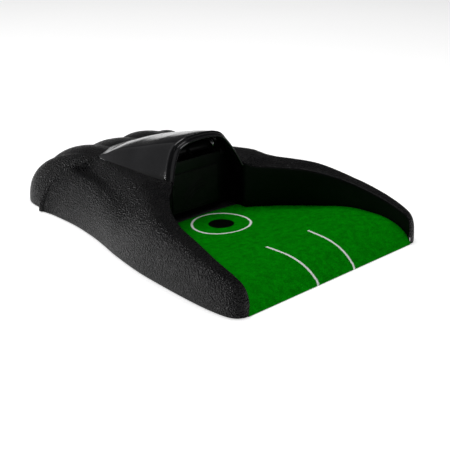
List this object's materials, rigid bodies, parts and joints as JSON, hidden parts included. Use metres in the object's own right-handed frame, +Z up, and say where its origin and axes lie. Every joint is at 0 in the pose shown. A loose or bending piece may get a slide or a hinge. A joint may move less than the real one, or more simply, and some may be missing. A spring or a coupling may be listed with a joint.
{
  "type": "putting return ramp",
  "caption": "Felt-covered putting ramp between two arms, with a hooded pocket and a motor-driven kicker that sends the ball back.",
  "frame": {"origin": "on the ground under the middle of the body's box", "axes": "+X to the player's right, +Y away from the player towards the tail, +Z up"},
  "size_m": [0.17, 0.2493, 0.0614],
  "materials": {
    "housing_black": "leather-grained moulding",
    "hood_black": "polished moulding",
    "pan_black": "plain moulding",
    "inner_black": "satin moulding",
    "turf_green": "short needle-punched felt",
    "rubber_black": "soft matt rubber",
    "steel": "bright zinc",
    "brass": "satin brass",
    "gear_white": "acetal",
    "board_green": "solder mask",
    "parts_dark": "moulded component bodies",
    "cell_wrap": "plain printed wrap"
  },
  "bodies": {
    "base": {"top_housing": "housing_black", "hood_cover": "hood_black", "base_pan": "pan_black", "turf_mat": "turf_green", "rubber_feet": "rubber_black", "housing_screws": "steel", "pocket_bulkhead": "inner_black", "kicker_springs": "steel", "paddle_bumpers": "rubber_black", "gearbox_plate_left": "parts_dark", "gearbox_plate_right": "parts_dark", "gear_axles": "steel", "motor_can": "steel", "motor_end_cap": "parts_dark", "microswitch_body": "parts_dark", "control_board": "board_green", "board_posts": "pan_black", "board_screws": "steel", "board_components": "parts_dark", "dc_jack": "parts_dark", "switch_body": "parts_dark", "battery_box": "pan_black", "battery_1": "cell_wrap", "battery_2": "cell_wrap", "battery_3": "cell_wrap", "battery_4": "cell_wrap", "battery_contacts": "steel", "battery_door": "pan_black", "door_screw": "steel"},
    "kicker": {"kicker_paddle": "inner_black", "paddle_pad": "rubber_black", "kicker_shaft": "steel"},
    "cam": {"cam_gear": "gear_white"},
    "compound": {"compound_gear": "gear_white"},
    "pinion": {"motor_pinion": "brass", "motor_shaft": "steel"},
    "switch_arm": {"microswitch_lever": "steel"},
    "slider": {"switch_slider": "inner_black"}
  },
  "joints": [
    {"name": "kicker_swing", "type": "hinge", "parent": "base", "child": "kicker", "pos_m": [0, 0.0127, 0.047], "axis": [1, 0, 0], "range_deg": [-14, 20], "stiffness_Nm_per_rad": 0.15},
    {"name": "cam_spin", "type": "hinge", "parent": "base", "child": "cam", "pos_m": [0, 0.0352, 0.02], "axis": [1, 0, 0], "continuous": true},
    {"name": "compound_spin", "type": "hinge", "parent": "base", "child": "compound", "pos_m": [0, 0.0526, 0.01817], "axis": [1, 0, 0], "continuous": true},
    {"name": "pinion_spin", "type": "hinge", "parent": "base", "child": "pinion", "pos_m": [0, 0.06529, 0.01225], "axis": [1, 0, 0], "continuous": true},
    {"name": "switch_arm_tilt", "type": "hinge", "parent": "base", "child": "switch_arm", "pos_m": [0, 0.0227, 0.0065], "axis": [1, 0, 0], "range_deg": [-13.5, 9.5]},
    {"name": "power_switch_slide", "type": "slide", "parent": "base", "child": "slider", "axis": [0, 1, 0], "range_m": [0, 0.003]}
  ],
  "couplings": [
    {"joint": "compound_spin", "follows": "cam_spin", "ratio": -4},
    {"joint": "pinion_spin", "follows": "cam_spin", "ratio": 12},
    {"joint": "switch_arm_tilt", "follows": "kicker_swing", "ratio": -0.65}
  ]
}
